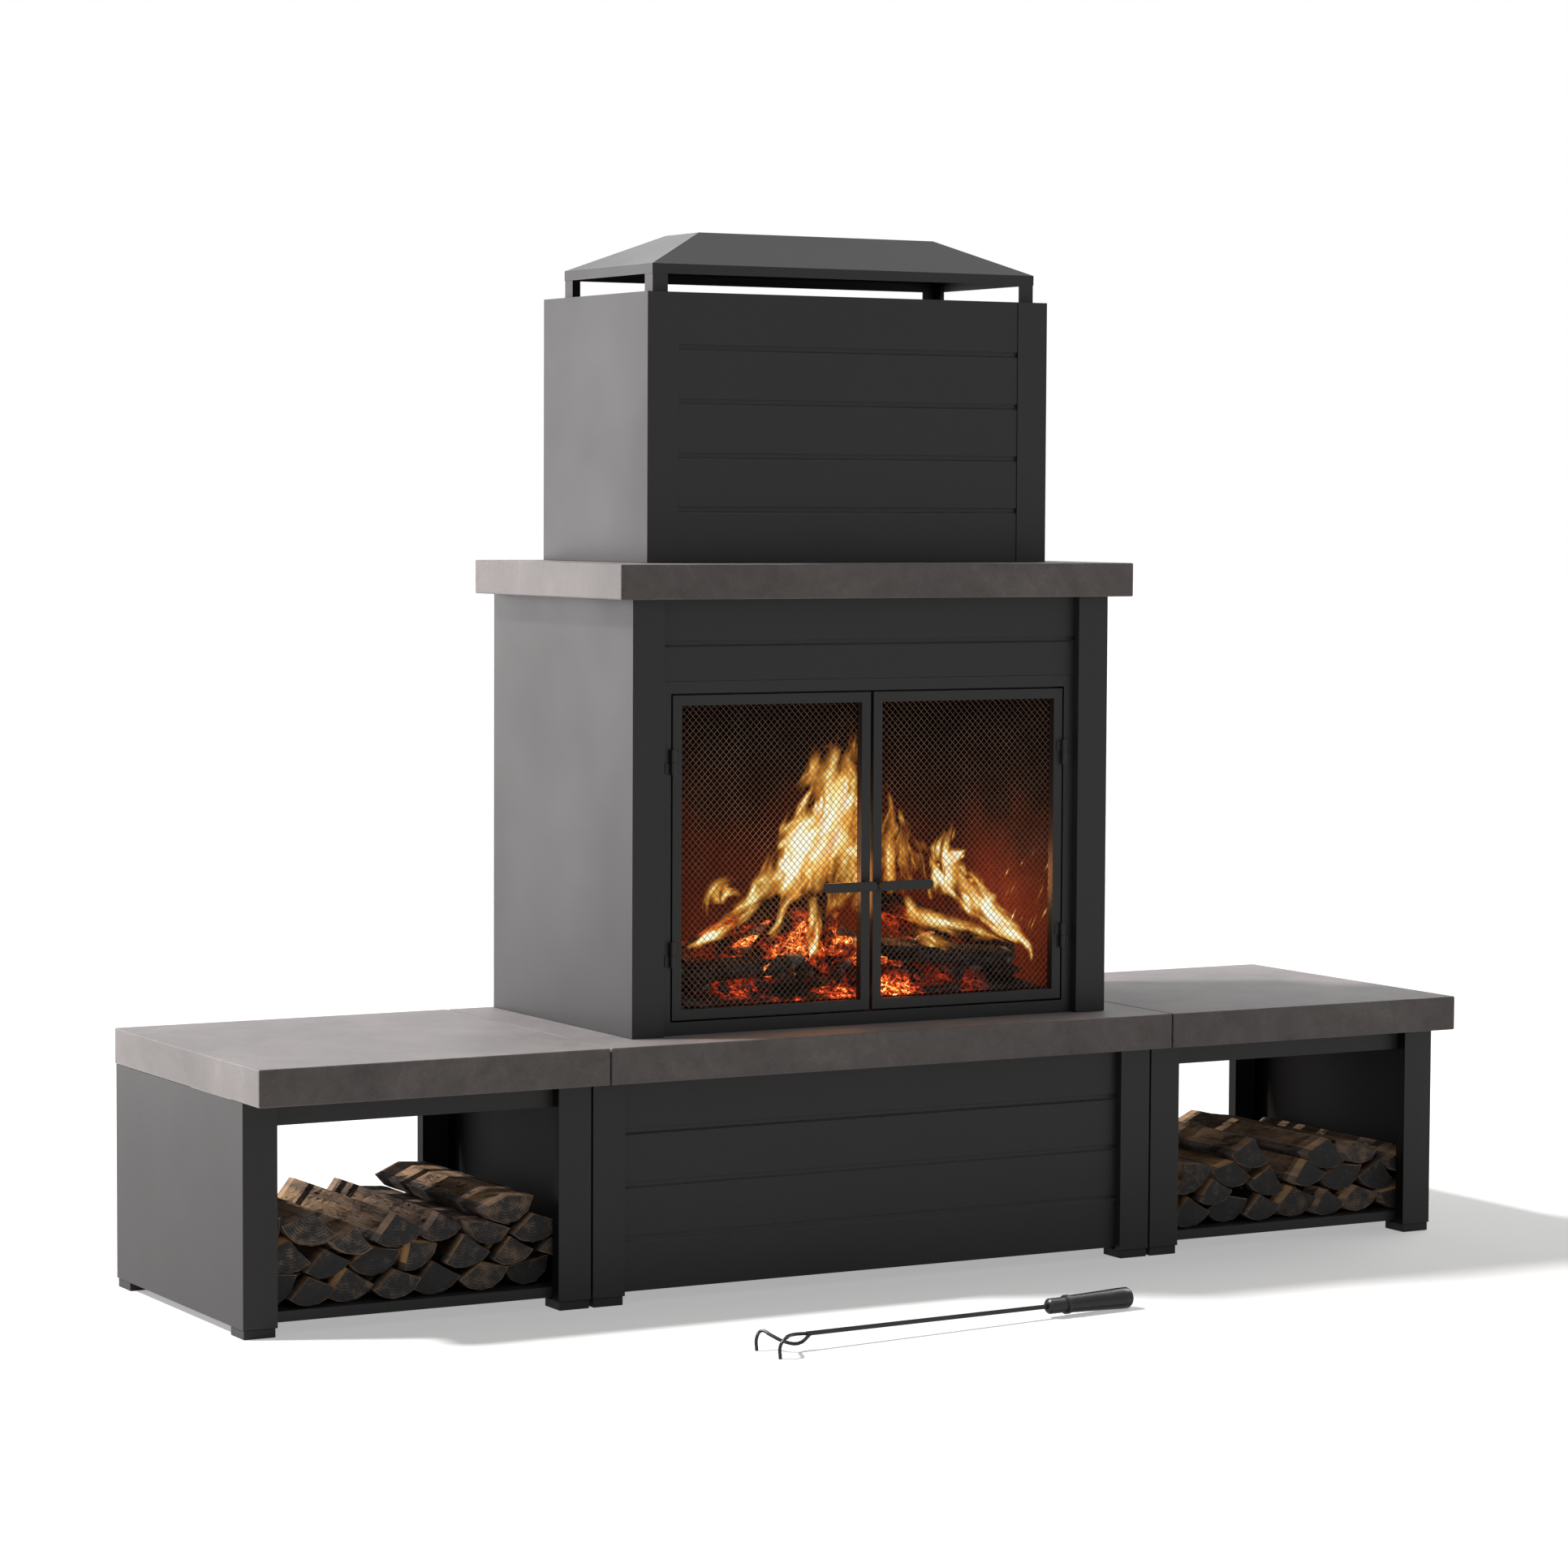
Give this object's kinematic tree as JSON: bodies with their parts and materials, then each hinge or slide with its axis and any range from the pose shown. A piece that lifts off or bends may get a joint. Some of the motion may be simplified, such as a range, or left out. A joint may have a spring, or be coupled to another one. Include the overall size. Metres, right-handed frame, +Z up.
{
  "type": "outdoor wood-burning fireplace",
  "caption": "Steel fireplace with mesh doors, a boarded chimney under a hipped cap, and a raised hearth with log benches, a lit fire and a poker.",
  "frame": {"origin": "on the floor, at the middle of the footprint, which takes in the poker in front of the hearth", "axes": "+X to the right along the front, +Y from the front to the back, +Z up"},
  "size_m": [2.4384, 1.1435, 1.8652],
  "materials": {
    "casing_steel": "matt charcoal powder coat",
    "door_steel": "satin black heat-proof paint",
    "sooty_steel": "bare steel blackened by soot",
    "cast_stone": "fine matt grey-brown concrete",
    "feet": "matt black moulding",
    "bolts": "zinc plated",
    "door_mesh": "heat-stained wire net",
    "firewood": "split, dry and weathered",
    "burning_logs": "charred and glowing",
    "charcoal_bed": "embers and ash",
    "fire_grate": "rough black casting",
    "poker_steel": "satin black",
    "poker_grip": "smooth satin black"
  },
  "bodies": {
    "fireplace": {"base_back_left_foot": "feet", "base_back_panel": "casing_steel", "base_back_right_foot": "feet", "base_front_left_foot": "feet", "base_front_panel": "casing_steel", "base_front_right_foot": "feet", "base_left_panel": "casing_steel", "base_right_panel": "casing_steel", "burning_logs": "burning_logs", "charcoal_bed": "charcoal_bed", "chimney_back_panel": "casing_steel", "chimney_cap": "casing_steel", "chimney_front_panel": "casing_steel", "chimney_left_panel": "casing_steel", "chimney_right_panel": "casing_steel", "chimney_top_plate": "casing_steel", "door_surround": "door_steel", "fire_grate": "fire_grate", "firebox_back_panel": "casing_steel", "firebox_floor_tray": "sooty_steel", "firebox_header_panel": "casing_steel", "firebox_left_panel": "casing_steel", "firebox_liner": "sooty_steel", "firebox_right_panel": "casing_steel", "flue_duct": "sooty_steel", "hearth_slab": "cast_stone", "left_bench_back_inner_foot": "feet", "left_bench_back_outer_foot": "feet", "left_bench_back_rail": "casing_steel", "left_bench_bolt": "bolts", "left_bench_firewood": "firewood", "left_bench_front_inner_foot": "feet", "left_bench_front_outer_foot": "feet", "left_bench_front_rail": "casing_steel", "left_bench_inner_panel": "casing_steel", "left_bench_outer_panel": "casing_steel", "left_bench_shelf": "casing_steel", "left_bench_slab": "cast_stone", "mantel_slab": "cast_stone", "right_bench_back_inner_foot": "feet", "right_bench_back_outer_foot": "feet", "right_bench_back_rail": "casing_steel", "right_bench_bolt": "bolts", "right_bench_firewood": "firewood", "right_bench_front_inner_foot": "feet", "right_bench_front_outer_foot": "feet", "right_bench_front_rail": "casing_steel", "right_bench_inner_panel": "casing_steel", "right_bench_outer_panel": "casing_steel", "right_bench_shelf": "casing_steel", "right_bench_slab": "cast_stone"},
    "left_door": {"left_door_frame": "door_steel", "left_door_mesh": "door_mesh", "left_door_handle": "door_steel"},
    "right_door": {"right_door_frame": "door_steel", "right_door_mesh": "door_mesh", "right_door_handle": "door_steel"},
    "poker": {"poker_rod": "poker_steel", "poker_ferrule": "poker_steel", "poker_grip": "poker_grip"}
  },
  "joints": [
    {"name": "left_door_hinge", "type": "hinge", "parent": "fireplace", "child": "left_door", "pos_m": [-0.4023, 0.0154, 0.7675], "axis": [0, 0, -1], "range_deg": [0, 110]},
    {"name": "right_door_hinge", "type": "hinge", "parent": "fireplace", "child": "right_door", "pos_m": [0.4023, 0.0154, 0.7675], "axis": [0, 0, 1], "range_deg": [0, 110]},
    {"name": "poker_lift", "type": "slide", "parent": "fireplace", "child": "poker", "axis": [0, 0, 1], "range_m": [0, 0.5]}
  ]
}
